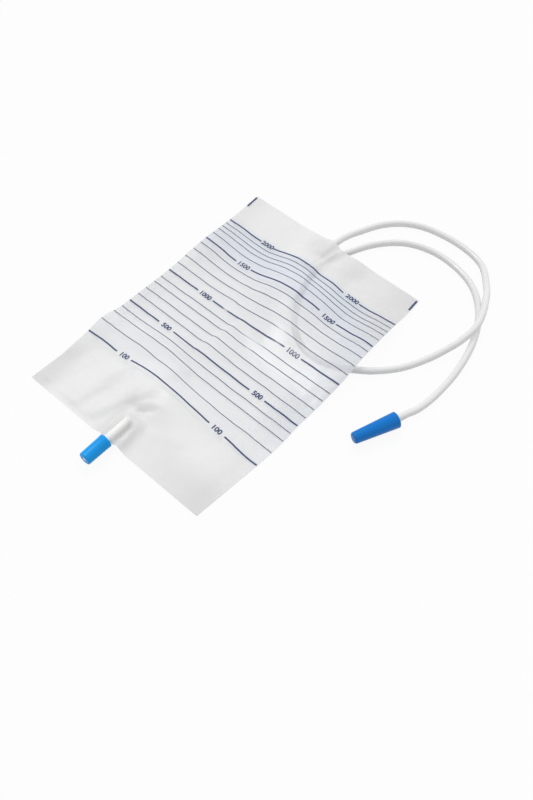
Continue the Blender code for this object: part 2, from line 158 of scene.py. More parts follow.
# Small creases that only the look has, in the same way
CREASES = [
    ([(-36, -92, 0.3), (-44, -110, 2.8), (-51, -128, 3.6), (-53, -140, 2.6)], 6.5, 17),
    ([(-3, -84, 0.3), (-8, -94, 2.2), (-14, -106, 3.4), (-23, -118, 3.4), (-31, -132, 3), (-34, -141, 1.8)],
     6.5, 12),
    ([(-70, -96, 0.2), (-79, -112, 1.8), (-87, -136, 1.4)], 7, 12),
    ([(13.5, -102, 0), (6.5, -106, -1.8), (-0.5, -112, -1.8), (-5, -118, -0.3)], 2, 2.4),
    ([(18, -97, 0.2), (8, -99, 1.1), (-2, -105, 1), (-9, -112, 0.2)], 3, 2.4),
    ([(12, -122, 0.3), (26, -119, 0.9), (40, -112, 0.7), (52, -102, 0.2)], 6, 9),
    ([(6, -129, -0.2), (5, -134, -1.8), (7, -138, -0.8), (5, -143, -2)], 1.2, 1.2),
    ([(9, -124, 0.1), (10, -132, 1), (10, -143, 0.8)], 2.2, 2.6),
    ([(60, -110, 0.1), (66, -124, 0.7), (64, -138, 0.3)], 9, 9),
    ([(-38, 44, 0.2), (-28, 36, 0.9), (-18, 22, 0.3)], 3, 6),
    ([(-20, 60, 0.1), (-30, 52, 0.5), (-42, 46, 0.1)], 3, 3),
    ([(-58, -40, 0.1), (-40, -36, 0.5), (-20, -40, 0.1)], 3.6, 3.6),
    ([(18, 18, 0.1), (34, 10, 0.4), (52, 6, 0.1)], 4, 4),
    ([(-2, 116, 0.1), (-9, 122, 0.5), (-20, 127, 0.1)], 3.4, 3.4),
    ([(14, 118, 0.1), (24, 124, 0.45), (40, 127, 0.1)], 4, 4),
    ([(60, 128, 0.1), (74, 124, 0.4), (90, 118, 0.1)], 5, 5),
    ([(-6, 143, 0.1), (-5, 131, 0.8), (-8, 118, 0.1)], 1.6, 2.2),
    ([(9, 141, 0.1), (11.5, 129, 0.9), (9, 115, 0.1)], 1.8, 2),
    ([(-60, 132, 0.1), (-44, 127, 0.35), (-24, 132, 0.1)], 5, 5),
]
# Slow and quick waviness: the size of a wave and its height
WAVINESS = ((26, 0.34), (9, 0.11))
CORNER_ROUND = 12
WELD_DENT = 0.03
WELD_DENT_WIDTH = 0.8

# The printed scale: where each line is in plan, from 2000 down to 100
SCALE_Y = [
    104.5, 98.5, 92.8, 87.3, 79.5, 69.9, 61.9, 52.3, 41.6, 31.2, 19.8, 9, 0.5, -9.9, -20.1, -30.6, -40.3, -50,
    -64.8, -80.5,
]
SCALE_LINES = dict(zip(range(2000, 0, -100), SCALE_Y))
# The main lines: where the gaps for their numbers lie, and the middles of the numbers
NUMBERED = {
    2000: ((-56.6, -42), (45.6, 64.2), -48.6, 56.2),
    1500: ((-57.6, -39.6), (45.3, 65.6), -48.4, 56.8),
    1000: ((-60.2, -41), (46.8, 66.2), -50.6, 56.6),
    500: ((-60.6, -42.2), (50.6, 68), -51.3, 59.6),
    100: ((-62.6, -45), (50.2, 68), -53.7, 58.8),
}
# Where the gathers of the film have shifted the print along the length: (x, y, shift, width, length)
PRINT_DRIFT = [
    (-24, 98, 1.8, 17, 34), (-28, 36, 1.2, 15, 11), (24, 22, -1.1, 15, 7), (-26, -36, -1, 15, 8),
    (-10, -50, -0.7, 10, 6), (-44, -62, 2.1, 20, 7), (48, -66, -0.8, 22, 6), (-30, -79, 1.3, 24, 8),
    (96, -81, -1.5, 20, 8), (55, 70, -1.6, 8, 4), (70, 88, -1.3, 36, 14), (32, 94, -0.9, 22, 8),
    (84, 70, -1.1, 26, 12), (-98, -80, -1, 12, 8),
]
PRINT_WAVER = ((17, 0.45), (6, 0.14))
# The marks in the top corners: from where to where, how wide, and how far inside the edge
CORNER_MARK = (130.5, 146)
CORNER_MARK_WIDTH = 1.9
CORNER_MARK_INSIDE = 1.5
LINE_END_GAP = 0.6
# The font's size for numerals 1 mm high, and how much their strokes are thickened
FONT_SIZE = 1.42
FONT_OFFSET = 0.05
NUMERAL_EDGE = 0.9
# How high the ink lies above the film, and the step of its ribbons
INK_ABOVE = 0.06
INK_STEP = 1
# Where the ink is drawn faded, mostly a painted highlight of the glare: (x, y, share missing, width, length)
GLARE_WASHED_INK = [
    (21, 9, 0.8, 15, 5), (34, 32, 0.8, 7, 5), (39, 22, 0.7, 5, 4), (-25, 20, 0.8, 3.5, 4),
    (21, 0, 0.6, 5, 4), (57, 22, 0.45, 11, 5), (-48, 70, 0.2, 9, 4), (-48, 105, 0.15, 9, 4),
]

# Painted shade on the film in a few spots: (x, y, amount, width, length)
PAINTED_SHADE_SPOTS = [(-42, -47, 0.14, 36, 18), (-6, 134, 0.5, 14, 15)]
# And painted shade towards its corners: (amount, x where it starts, x where it is full, and the same for y)
PAINTED_SHADE_CORNERS = [(0.50, -6, 74, -106, -134), (0.45, 30, 90, 50, 100), (0.40, -76, -90, -88, -108)]
# Where the films cling together and are clearer: below the scale and in the bend of the hidden tube
CLEAR_SPOTS = [(38, -96, 0.5, 36, 17), (-29, -106, 0.35, 7, 14), (57, 36, 0.45, 18, 8)]

# Non-return valve: its size and opening, and half its flaps' gap and thickness
VALVE_HALF_WIDTH = 9.5
VALVE_ENDS = (99, 133.5)
VALVE_OPENING = (3.75, 8.5)
VALVE_OPENS_AT = 117
VALVE_GAP = 0.15
VALVE_FLAP = 0.12
VALVE_HAZE = 0.3

# The camera: azimuth, elevation and roll in degrees, lens in mm, and in metres its aim and how far off it is
CAMERA_ANGLES = (41.354, 57.201, 0.4229)
CAMERA_LENS = 41.05
CAMERA_AIM = (0.06325, -0.01445, 0)
CAMERA_DISTANCE = 0.7881

# The light seen as a glare: where the film mirrors it, the way to it, and in metres how far off and how large
GLARE_MIDDLE = (42, 12, 5)
TOWARD_GLARE = Vector((-0.44, -0.02, 0.90))
GLARE_DISTANCE = 2.5
GLARE_SIZE = (0.80, 0.50)
# Where the main light comes from, and how broad it looks in degrees
TOWARD_KEY = Vector((-0.50, 0.46, 0.73)).normalized()
KEY_BREADTH = 28
# Half the floor's width in metres, and how far it lies under the bag in mm
FLOOR_HALF = 4
FLOOR_Z = -0.3


def linear(hex_colour):
    """A hex sRGB colour as linear red, green, blue and 1."""
    found = []
    for i in (1, 3, 5):
        value = int(hex_colour[i : i + 2], 16) / 255
        found.append(value / 12.92 if value <= 0.04045 else ((value + 0.055) / 1.055) ** 2.4)
    return (*found, 1)


def soft_step(value):
    """0 below 0, 1 above 1, and smooth between."""
    part = np.clip(value, 0, 1)
    return part * part * (3 - 2 * part)


def bell(value):
    """1 at 0, falling smoothly to almost nothing at 2."""
    return np.exp(-np.square(value))


def ramp(value, start, full):
    """0 up to the start, 1 from where it is full, and smooth between."""
    return soft_step((value - start) / (full - start))


def spot(x, y, at_x, at_y, amount, width, length):
    """A soft patch: its amount in the middle, and less over its width and length."""
    return amount * bell((x - at_x) / width) * bell((y - at_y) / length)


def wavy(x, y, size, level):
    """Smooth noise between -1 and 1 with waves of a size in mm. Each level gives other waves."""
    found = [noise.noise(Vector((a / size, b / size, level))) for a, b in zip(x.ravel(), y.ravel())]
    return np.array(found).reshape(x.shape)


def merge(one, other, blend):
    """The higher of two surfaces, with the line where they meet rounded off."""
    blend = np.minimum(blend, np.minimum(one, other)).clip(1e-6, None)
    near = np.clip(1 - np.abs(one - other) / blend, 0, 1)
    return np.maximum(one, other) + blend / 4 * near * near


def smooth_line(points, parts):
    """A smooth curve through the points, as an array with so many parts in each span."""
    known = np.array(points, float)
    known = np.vstack([2 * known[0] - known[1], known, 2 * known[-1] - known[-2]])
    found = []
    for a, b, c, d in zip(known, known[1:], known[2:], known[3:]):
        for t in np.arange(parts) / parts:
            curve = 2 * b + (c - a) * t + (2 * a - 5 * b + 4 * c - d) * t * t
            found.append(0.5 * (curve + (3 * b - a - 3 * c + d) * t**3))
    found.append(known[-2])
    return np.array(found)


def from_span(start, end, x, y):
    """For each place: its distance from one span, its side (left is positive) and the span's height."""
    run = end[:2] - start[:2]
    share = ((x - start[0]) * run[0] + (y - start[1]) * run[1]) / max(run @ run, 1e-9)
    share = np.clip(share, 0, 1)
    dx = x - start[0] - share * run[0]
    dy = y - start[1] - share * run[1]
    return np.hypot(dx, dy), run[0] * dy - run[1] * dx, start[2] + share * (end[2] - start[2])


def nearest(line, x, y):
    """The same for the nearest span of a line."""
    best = np.full((3, *x.shape), 1e9)
    for start, end in zip(line, line[1:]):
        here = np.array(from_span(start, end, x, y))
        best = np.where(here[0] < best[0], here, best)
    return best


def along_edge(table, y):
    """The value at y of a table of (y, value) points, top first."""
    line = smooth_line(table, 4)[::-1]
    return np.interp(y, line[:, 0], line[:, 1])


def edges_at(y):
    """Where the left and the right edge lie at one y."""
    return [float(along_edge(edge, y)) for edge in (LEFT_EDGE, RIGHT_EDGE)]


def top_edge(x):
    middle, depth, width = TOP_DIP
    return TOP_Y - depth * bell((x - middle) / width)


def fold_height(x, y):
    """How high the folds lift the film, before the pieces inside it."""
    height = np.zeros(x.shape)
    for crest, left, right in FOLDS:
        line = smooth_line(crest, 3)
        fold = np.zeros(x.shape)
        for start, end in zip(line, line[1:]):
            distance, side, rise = from_span(start, end, x, y)
            share = distance / np.where(side > 0, left, right)
            fold = np.maximum(fold, rise * np.exp(-(share**FOLD_SHAPE)))
        height = merge(height, fold, FOLD_BLEND)
    height = height + spot(x, y, *INNER_RISE)
    length = np.where(y > DOME_MIDDLE[1], *DOME_LENGTHS)
    height = height + spot(x, y, *DOME_MIDDLE, DOME_HEIGHT, DOME_WIDTH, length)
    from_right = along_edge(RIGHT_EDGE, y) - x
    from_left = x - along_edge(LEFT_EDGE, y)
    height = height + along_edge(RIGHT_CURL, y) * bell(from_right / EDGE_CURL_WIDTH)
    return height + along_edge(LEFT_CURL, y) * bell(from_left / EDGE_CURL_WIDTH)


def from_edges(x, y):
    """How far inside the cut edges a place is, as (from the nearer side, from the nearer end)."""
    sides = np.minimum(x - along_edge(LEFT_EDGE, y), along_edge(RIGHT_EDGE, y) - x)
    ends = np.minimum(top_edge(x) - y, y - BOTTOM_Y)
    return sides, ends


def lens(distance, half_height, half_width):
    """Half the height of the opening that two films leave around a round thing between them."""
    inside = np.abs(distance) < half_width
    return np.where(inside, half_height * np.cos(distance * math.pi / 2 / half_width) ** 2, 0)


def tube_roof(x, y):
    """How high the back film passes over the tube's hidden stretch: steeply only beside the inlet."""
    hidden = smooth_line(TUBE_ROUTE[HIDDEN_STRETCH[0] : HIDDEN_STRETCH[1]], 3)
    distance, _, _ = nearest(hidden, x, y)
    spread = 5.2 + 4.3 * ramp(y, 122, 102)
    return (2 * TUBE_R + 0.9) * bell(distance / spread)


def small_relief(x, y):
    """Fine creases and waviness, which fade out at the welded border."""
    height = np.zeros(x.shape)
    for crest, left, right in CREASES:
        distance, side, rise = nearest(smooth_line(crest, 3), x, y)
        height = height + rise * bell(distance / np.where(side > 0, left, right))
    for size, amount in WAVINESS:
        height = height + amount * wavy(x, y, size, size)
    sides, ends = from_edges(x, y)
    return height * soft_step((np.minimum(sides, ends) - 1) / 8)


def films_at(x, y):
    """The underside of the back film and the top of the front film, in mm above the floor."""
    sides, ends = from_edges(x, y)
    inside = np.minimum(sides, ends) - WELD_WIDTH
    grown = soft_step(inside / GAP_GROWTH)
    room = WELD_GAP + (MOST_GAP - WELD_GAP) * grown
    least = 2 * FILM_THICK + WELD_GAP
    top = least + FLAT_AIR * grown + fold_height(x, y)
    roof = tube_roof(x, y)
    top = merge(top, roof + least + 0.05, 4)
    # The inlet tube and the stem hold the seams up on both sides of themselves, and the films open round them
    inlet_z = np.interp(y, [TUBE_ROUTE[0][1], TOP_Y], [TUBE_ROUTE[0][2], TUBE_ROUTE[1][2]])
    inlet = (x - TUBE_ROUTE[0][0], inlet_z, y - 110, INLET_OPENING)
    outlet = (x - OUTLET_X, np.full(x.shape, OUTLET_Z), -104 - y, OUTLET_OPENING)
    for aside, axis_z, inward, (half_height, half_width) in (inlet, outlet):
        wide = lens(aside, half_height, half_width * FRONT_WIDER) * soft_step(inward / FRONT_RUN)
        lift = (axis_z + FILM_THICK) * bell(aside / SEAM_LIFT_WIDTH) * soft_step(inward / FRONT_RUN)
        top = merge(top, lift + wide, 5)
    under = np.maximum(top - least + WELD_GAP - room, roof)
    for aside, axis_z, inward, (half_height, half_width) in (inlet, outlet):
        half = lens(aside, half_height, half_width) * soft_step(inward / OPENING_RUN)
        under = np.where(half > 0.05, np.minimum(under, axis_z - half - FILM_THICK), under)
    under = np.clip(np.minimum(under, top - least), 0, None)
    return under, top


def front_height(x, y):
    """The front film's upper side with its fine relief, kept clear of what is under it."""
    under, top = films_at(x, y)
    least = 2 * FILM_THICK + WELD_GAP
    fine = np.maximum(top + small_relief(x, y), under + least)
    # Over the stem and the inlet tube the film is drawn tight, so nothing dents it there
    tight = lens(x - OUTLET_X, 1, 6.5) * soft_step((-112 - y) / 6)
    tight = np.maximum(tight, lens(x - TUBE_ROUTE[0][0], 1, 6) * soft_step((y - 118) / 6))
    fine = fine + (top - fine) * np.clip(tight * 1.6, 0, 1)
    sides, ends = from_edges(x, y)
    across = np.clip(CORNER_ROUND - sides, 0, None)
    along = np.clip(CORNER_ROUND - ends, 0, None)
    corner = CORNER_ROUND - np.hypot(across, along)
    border = np.where((across > 0) & (along > 0), corner, np.minimum(sides, ends))
    return fine - WELD_DENT * bell((border - WELD_WIDTH + 1) / WELD_DENT_WIDTH)


def printed_at(x, y):
    """How far along the length the print has shifted at each place."""
    shift = np.zeros(x.shape)
    for drift in PRINT_DRIFT:
        shift = shift + spot(x, y, *drift)
    for size, amount in PRINT_WAVER:
        shift = shift + amount * wavy(x, y, size, 40 + size)
    return shift


def ink_shown(x, y):
    """How much ink is drawn at each place, less where the glare washes out the print: a painted highlight."""
    missing = np.zeros(x.shape)
    for skip in GLARE_WASHED_INK:
        missing = np.maximum(missing, spot(x, y, *skip))
    return 1 - missing


def tint_share(x, y):
    """How bluish the film looks round the scale: more at the top and at the right."""
    zone = ramp(y, 112, 104) * ramp(y, -92, -76)
    tinted = 0.25 + (0.5 + 0.25 * ramp(x, 20, 70)) * ramp(y, 45, 85)
    side = 0.4 * ramp(x, 66, 96) * (1 - bell((y + 68) / 20))
    return zone * np.clip(tinted + side, 0, 1)


def matt_share(x, y):
    """Where the film is more matt: at its two ends and at the lower left."""
    matt = np.maximum(ramp(y, -84, -108), ramp(y, 98, 118))
    return np.maximum(matt, ramp(y, -34, -50) * ramp(x, 14, -16))


def grey_share(x, y):
    """Painted shade: the film darker towards its sides and corners, in a few spots and along two creases."""
    paler = np.where(x > 0, 0.9 * bell((y + 68) / 20), 0.5 * bell((y - 48) / 34))
    grey = 0.30 * ramp(np.abs(x + 2), 68, 96) * (1 - paler)
    for place in PAINTED_SHADE_SPOTS:
        grey = grey + spot(x, y, *place)
    for amount, x_start, x_full, y_start, y_full in PAINTED_SHADE_CORNERS:
        grey = grey + amount * ramp(x, x_start, x_full) * ramp(y, y_start, y_full)
    # Painted shade along two creases at the bottom left
    grey = grey + 0.6 * bell((x + 14) / 7) * ramp(y, -96, -110)
    return grey + spot(x - 0.25 * (y + 101), y, -43, -104, 0.45, 5, 16)


def clear_share(x, y, on_stem):
    """Where a film clings and is clearer. Round the inlet the films are pressed and hide more."""
    clear = np.zeros(x.shape)
    for place in CLEAR_SPOTS:
        clear = np.maximum(clear, spot(x, y, *place))
    if on_stem:
        clear = np.maximum(clear, ramp(np.abs(x - OUTLET_X - 0.4), 8, 5.6) * ramp(y, -122, -129))
    return clear - 0.8 * ramp(y, 96, 112) * bell((x - 7) / 34)


def spaced(low, high, step):
    count = max(1, round((high - low) / step))
    return [low + (high - low) * i / count for i in range(count)]


def film_grid(step):
    """Plan places of a film's grid, finer along the welded border and above the inlet and outlet."""
    half, border = GRID_HALF, GRID_BORDER
    columns = spaced(-half, -half + border, step * 0.5) + spaced(-half + border, GRID_STRIP[0], step)
    columns += spaced(*GRID_STRIP, step * 0.7) + spaced(GRID_STRIP[1], half - border, step)
    columns += spaced(half - border, half, step * 0.5) + [half]
    rows = spaced(BOTTOM_Y, BOTTOM_Y + border, step * 0.5) + spaced(BOTTOM_Y + border, TOP_Y - border, step)
    rows += spaced(TOP_Y - border, TOP_Y, step * 0.5) + [TOP_Y]
    straight, y = np.meshgrid(columns, rows)
    left, right = along_edge(LEFT_EDGE, y), along_edge(RIGHT_EDGE, y)
    x = left + (straight + half) / (2 * half) * (right - left)
    # The columns stay straight in the middle and follow the edges further out
    x = straight + (x - straight) * ramp(np.abs(straight - 5), 20, 80)
    upward = (y - BOTTOM_Y) / (TOP_Y - BOTTOM_Y)
    return x, BOTTOM_Y + upward * (top_edge(x) - BOTTOM_Y)


def in_world(x, y, z):
    return Vector(((x + FILM_X) * MM, (y + FILM_Y) * MM, z * MM))


def link(tree, node, links):
    """Links each socket to the node's input of that name."""
    for name, socket in links.items():
        tree.links.new(node.inputs[name], socket)


def add_node(tree, kind, settings=None, links=None):
    """Adds a node, sets its properties or input values, and links (input, socket) pairs to it."""
    node = tree.nodes.new(kind)
    for name, value in (settings or {}).items():
        if isinstance(name, str) and hasattr(node, name):
            setattr(node, name, value)
        else:
            node.inputs[name].default_value = value
    link(tree, node, links or {})
    return node


def new_material(name, base, roughness, ior, alpha=1):
    """A material with one Principled shader, its node tree and that shader."""
    material = bpy.data.materials.new(name)
    material.use_nodes = True
    tree = material.node_tree
    shader = tree.nodes["Principled BSDF"]
    for key, value in {"Base Color": base, "Roughness": roughness, "IOR": ior, "Alpha": alpha}.items():
        shader.inputs[key].default_value = value
    return material, tree, shader


def lumps(tree, size, detail):
    """Noise that stays with the piece, with lumps of a size in mm."""
    place = add_node(tree, "ShaderNodeTexCoord").outputs["Object"]
    scale = {"Scale": 1 / (size * MM), "Detail": detail}
    return add_node(tree, "ShaderNodeTexNoise", scale, {"Vector": place}).outputs["Fac"]


def patches(tree, size, detail, low, high):
    """A value that drifts between low and high in soft patches of a size in mm."""
    spread = {"From Min": 0.3, "From Max": 0.7, "To Min": low, "To Max": high}
    value = {"Value": lumps(tree, size, detail)}
    return add_node(tree, "ShaderNodeMapRange", spread, value).outputs["Result"]


def fine_relief(tree, size, detail, strength, depth):
    """The normal of a surface with a fine grain, of a size and a depth in mm."""
    relief = {"Strength": strength, "Distance": depth * MM}
    return add_node(tree, "ShaderNodeBump", relief, {"Height": lumps(tree, size, detail)}).outputs["Normal"]


def scattered(tree, alpha, share):
    """The alpha of milky PVC: its haze scatters light on instead of stopping it, so its shadow is faint."""
    rays = add_node(tree, "ShaderNodeLightPath")
    kept = {"operation": "MULTIPLY_ADD", 1: -alpha * share, 2: alpha}
    return add_node(tree, "ShaderNodeMath", kept, {0: rays.outputs["Is Shadow Ray"]}).outputs["Value"]


def film_material(settings, name, alpha):
    """Soft PVC film, calendered: a fine matte grain that hazes what lies behind, clearer where it clings."""
    film = linear(settings.film_colour)
    material, tree, shader = new_material(name, film, settings.film_roughness, 1.53, alpha)
    value = {
        key: add_node(tree, "ShaderNodeAttribute", {"attribute_name": key}).outputs["Fac"]
        for key in ("print_tint", "grey", "matt", "cling")
    }
    tinted = {"data_type": "RGBA", 6: film, 7: linear(settings.print_tint)}
    shade = add_node(tree, "ShaderNodeMix", tinted, {0: value["print_tint"]})
    # Painted shade: the film's colour goes darker towards its sides and corners, in spots and along creases
    painted_shade_mix = {"data_type": "RGBA", 7: linear(settings.grey)}
    shade = add_node(tree, "ShaderNodeMix", painted_shade_mix, {0: value["grey"], 6: shade.outputs[2]})
    rough = {"To Min": settings.film_roughness, "To Max": settings.end_roughness}
    gloss = add_node(tree, "ShaderNodeMapRange", rough, {"Value": value["matt"]})
    # The haze comes in patches, and most of it goes where the film clings
    clearer = {"clamp": False, "To Min": alpha, "To Max": alpha * 0.25}
    clear = add_node(tree, "ShaderNodeMapRange", clearer, {"Value": value["cling"]})
    hides = patches(tree, 38, 3, 0.94, 1.06)
    for factor in (clear.outputs["Result"], scattered(tree, 1, settings.scatter)):
        both = {0: hides, 1: factor}
        hides = add_node(tree, "ShaderNodeMath", {"operation": "MULTIPLY"}, both).outputs["Value"]
    # Grain 0.5 mm across is drawn 1.2 mm across so that it shows
    grain = fine_relief(tree, 1.2, 2, 0.12, 0.05)
    looks = {"Normal": grain, "Base Color": shade.outputs[2], "Roughness": gloss.outputs["Result"]}
    link(tree, shader, looks | {"Alpha": hides})
    return material


def ink_material(name, colour):
    """Solvent ink, screen printed: flat and matt, its alpha lowered under the glare as a painted highlight.
    """
    material, tree, shader = new_material(name, linear(colour), 0.5, 1.5)
    # The ink fades where the glare washes it out: a painted highlight
    ink_under_glare = add_node(tree, "ShaderNodeAttribute", {"attribute_name": "ink_under_glare"})
    link(tree, shader, {"Alpha": ink_under_glare.outputs["Fac"]})
    return material


def tube_material(settings, name, alpha):
    """Soft PVC tube, extruded: milky, with a smooth gloss that changes a little along it."""
    material, tree, shader = new_material(name, linear(settings.tube_colour), 0.22, 1.53, alpha)
    gloss = patches(tree, 14, 2, 0.2, 0.27)
    link(tree, shader, {"Roughness": gloss, "Alpha": scattered(tree, alpha, settings.scatter)})
    return material


def moulded_material(name, colour, roughness, ior, specular=0.5):
    """A moulded fitting: smooth from the mould, with slight gloss changes and a trace of flow in its skin."""
    material, tree, shader = new_material(name, linear(colour), roughness, ior)
    shader.inputs["Specular IOR Level"].default_value = specular
    gloss = patches(tree, 6, 3, roughness - 0.04, roughness + 0.04)
    link(tree, shader, {"Roughness": gloss, "Normal": fine_relief(tree, 0.6, 1, 0.08, 0.02)})
    return material


def placed(name, data):
    """A new object in the scene."""
    thing = bpy.data.objects.new(name, data)
    bpy.context.scene.collection.objects.link(thing)
    return thing


def from_shape(name, shape, material):
    """A smooth mesh object made from a bmesh."""
    mesh = bpy.data.meshes.new(name)
    shape.to_mesh(mesh)
    shape.free()
    mesh.shade_smooth()
    mesh.materials.append(material)
    return placed(name, mesh)


def mesh_object(name, points, faces, material):
    mesh = bpy.data.meshes.new(name)
    mesh.from_pydata(points, [], faces)
    mesh.validate()
    mesh.shade_smooth()
    mesh.materials.append(material)
    return placed(name, mesh)


def grid_faces(rows, columns):
    return [
        (r * columns + c, r * columns + c + 1, (r + 1) * columns + c + 1, (r + 1) * columns + c)
        for r in range(rows - 1)
        for c in range(columns - 1)
    ]


def add_values(thing, name, values):
    """Stores one number for each point of a mesh, which its material reads."""
    attribute = thing.data.attributes.new(name, "FLOAT", "POINT")
    attribute.data.foreach_set("value", np.asarray(values, np.float32).ravel())


def film_object(name, x, y, z, material):
    rows, columns = x.shape
    points = [in_world(a, b, c) for a, b, c in zip(x.ravel(), y.ravel(), z.ravel())]
    return mesh_object(name, points, grid_faces(rows, columns), material)


def turned(name, profile, place, direction, material):
    """A piece turned from an outline of (radius, distance along the axis), in mm."""
    shape = bmesh.new()
    rings = []
    for radius, reach in profile:
        wide, far = radius * MM, reach * MM
        angles = [2 * math.pi * i / TURNED_STEPS for i in range(TURNED_STEPS if radius else 1)]
        rings.append([shape.verts.new((wide * math.cos(a), wide * math.sin(a), far)) for a in angles])
    pairs = list(zip(rings, rings[1:]))
    if len(rings[0]) > 1 and len(rings[-1]) > 1:
        pairs.append((rings[-1], rings[0]))
    for low, high in pairs:
        for i in range(TURNED_STEPS):
            j = (i + 1) % TURNED_STEPS
            corners = [low[i % len(low)], low[j % len(low)], high[j % len(high)], high[i % len(high)]]
            unique = list(dict.fromkeys(corners))
            if len(unique) > 2:
                shape.faces.new(unique)
    bmesh.ops.recalc_face_normals(shape, faces=shape.faces)
    thing = from_shape(name, shape, material)
    thing.data.set_sharp_from_angle(angle=math.radians(40))
    turn = Vector(direction).to_track_quat("Z", "Y").to_matrix().to_4x4()
    thing.matrix_world = Matrix.Translation(place) @ turn
    return thing


def arc(corner, radius, start_angle, end_angle, parts=8):
    """Points of an arc about a centre, in degrees, for a turned outline."""
    found = []
    for i in range(parts + 1):
        angle = math.radians(start_angle + (end_angle - start_angle) * i / parts)
        found.append((corner[0] + radius * math.cos(angle), corner[1] + radius * math.sin(angle)))
    return found


def connector_place(reach):
    """A point on the connector's axis, so far in from the cap's mouth."""
    return (CAP_WIDE[0] + CAP_AXIS[0] * reach, CAP_WIDE[1] + CAP_AXIS[1] * reach, CAP_Z)


class BagFilmSettings(bpy.types.PropertyGroup):
    film_colour: StringProperty(name="Film", description="Hex colour of the film", default="#EDEDED")
    print_tint: StringProperty(
        name="Scale", description="Hex colour of the film at the scale", default="#DBE2EC"
    )
    # The colour of the film's painted shade
    grey: StringProperty(name="Grey", description="Hex colour of the greyest film", default="#D2D2D2")
    film_roughness: FloatProperty(name="Matt", description="How matt the film is", default=0.3, min=0, max=1)
    end_roughness: FloatProperty(
        name="Ends", description="How matt the plain ends are", default=0.5, min=0, max=1
    )
    front_haze: FloatProperty(
        name="Front", description="How much the front film hides", default=0.58, min=0, max=1
    )
    back_haze: FloatProperty(
        name="Back", description="How much the back film hides", default=0.58, min=0, max=1
    )
    scatter: FloatProperty(
        name="Scatter", description="How much light the haze lets on", default=0.85, min=0, max=1
    )
    grid_step: FloatProperty(
        name="Step", description="Step of the film's mesh in mm", default=1.5, min=0.8, max=6
    )


class BagPrintSettings(bpy.types.PropertyGroup):
    ink: StringProperty(name="Ink", description="Hex colour of the ink", default="#3A4A72")
    fine_ink: StringProperty(name="Fine", description="Hex colour of the fine lines", default="#5E6C82")
    thick: FloatProperty(
        name="Main", description="Width of a numbered line in mm", default=1.5, min=0.2, max=3
    )
    thin: FloatProperty(name="Fine", description="Width of a fine line in mm", default=0.76, min=0.2, max=3)
    numeral: FloatProperty(name="Numbers", description="Their height in mm", default=4.8, min=2, max=12)


class BagTubeSettings(bpy.types.PropertyGroup):
    tube_colour: StringProperty(name="Tube", description="Hex colour of the tube", default="#EEEEEE")
    haze: FloatProperty(name="Haze", description="How much the wall hides", default=0.96, min=0, max=1)
    scatter: FloatProperty(
        name="Scatter", description="How much light the wall lets on", default=0.85, min=0, max=1
    )


class BagFittingSettings(bpy.types.PropertyGroup):
    cap_blue: StringProperty(name="Cap", description="Hex colour of the cap", default="#0076CC")
    sleeve_blue: StringProperty(name="Sleeve", description="Hex colour of the sleeve", default="#0AA0F2")
    white: StringProperty(name="White", description="Hex colour of the stem and connector", default="#FCFCFA")


class BagStageSettings(bpy.types.PropertyGroup):
    floor: StringProperty(name="Floor", description="Hex colour the floor is seen in", default="#FDFDFD")
    floor_paint: StringProperty(
        name="Paint", description="Hex colour of the floor's paint", default="#C4C4C4"
    )
    backdrop_share: FloatProperty(
        name="Backdrop", description="How much of the floor is backdrop", default=0.89, min=0, max=1
    )
    sky: FloatProperty(name="Sky", description="Strength of the light all round", default=0.66, min=0, max=3)
    key: FloatProperty(name="Key", description="Strength of the main light", default=1.44, min=0, max=10)
    glare: FloatProperty(
        name="Glare", description="Power of the light seen in the film", default=15, min=0, max=90
    )


def make_camera():
    """The camera that the photograph was matched with: 57 degrees up, from the lower right corner."""
    azimuth, elevation, roll = (math.radians(a) for a in CAMERA_ANGLES)
    level = math.cos(elevation)
    back = Vector((math.sin(azimuth) * level, -math.cos(azimuth) * level, math.sin(elevation)))
    right = Vector((math.cos(azimuth), math.sin(azimuth), 0))
    data = bpy.data.cameras.new("camera")
    data.sensor_width = 36
    data.lens = CAMERA_LENS
    data.clip_start = 0.02
    data.clip_end = 20
    camera = placed("camera", data)
    place = Vector(CAMERA_AIM) + back * CAMERA_DISTANCE
    turn = Matrix((right, back.cross(right), back)).transposed() @ Matrix.Rotation(roll, 3, "Z")
    camera.matrix_world = Matrix.Translation(place) @ turn.to_4x4()
    bpy.context.scene.camera = camera


def make_lights(settings):
    """A white sky, a broad main light from above the bag's top left, and one light seen only as a glare."""
    world = bpy.data.worlds.new("sky")
    bpy.context.scene.world = world
    world.use_nodes = True
    tree = world.node_tree
    tree.nodes.clear()
    soft = add_node(tree, "ShaderNodeBackground", {"Color": (1, 1, 1, 1), "Strength": settings.sky})
    seen = add_node(tree, "ShaderNodeBackground", {"Color": linear(settings.floor), "Strength": 1})
    rays = add_node(tree, "ShaderNodeLightPath")
    both = {0: rays.outputs["Is Camera Ray"], 1: soft.outputs["Background"], 2: seen.outputs["Background"]}
    mixed = add_node(tree, "ShaderNodeMixShader", links=both)
    add_node(tree, "ShaderNodeOutputWorld", links={"Surface": mixed.outputs["Shader"]})
    key = bpy.data.lights.new("key", "SUN")
    key.energy = settings.key
    key.angle = math.radians(KEY_BREADTH)
    lamp = placed("key", key)
    lamp.rotation_mode = "QUATERNION"
    lamp.rotation_quaternion = TOWARD_KEY.to_track_quat("Z", "Y")
    lamp.visible_glossy = False
    glare = bpy.data.lights.new("glare", "AREA")
    glare.shape = "RECTANGLE"
    glare.size, glare.size_y = GLARE_SIZE
    glare.energy = settings.glare
    panel = placed("glare", glare)
    panel.location = in_world(*GLARE_MIDDLE) + TOWARD_GLARE * GLARE_DISTANCE
    panel.rotation_mode = "QUATERNION"
    panel.rotation_quaternion = TOWARD_GLARE.to_track_quat("Z", "Y")
    panel.visible_diffuse = False
    panel.visible_camera = False


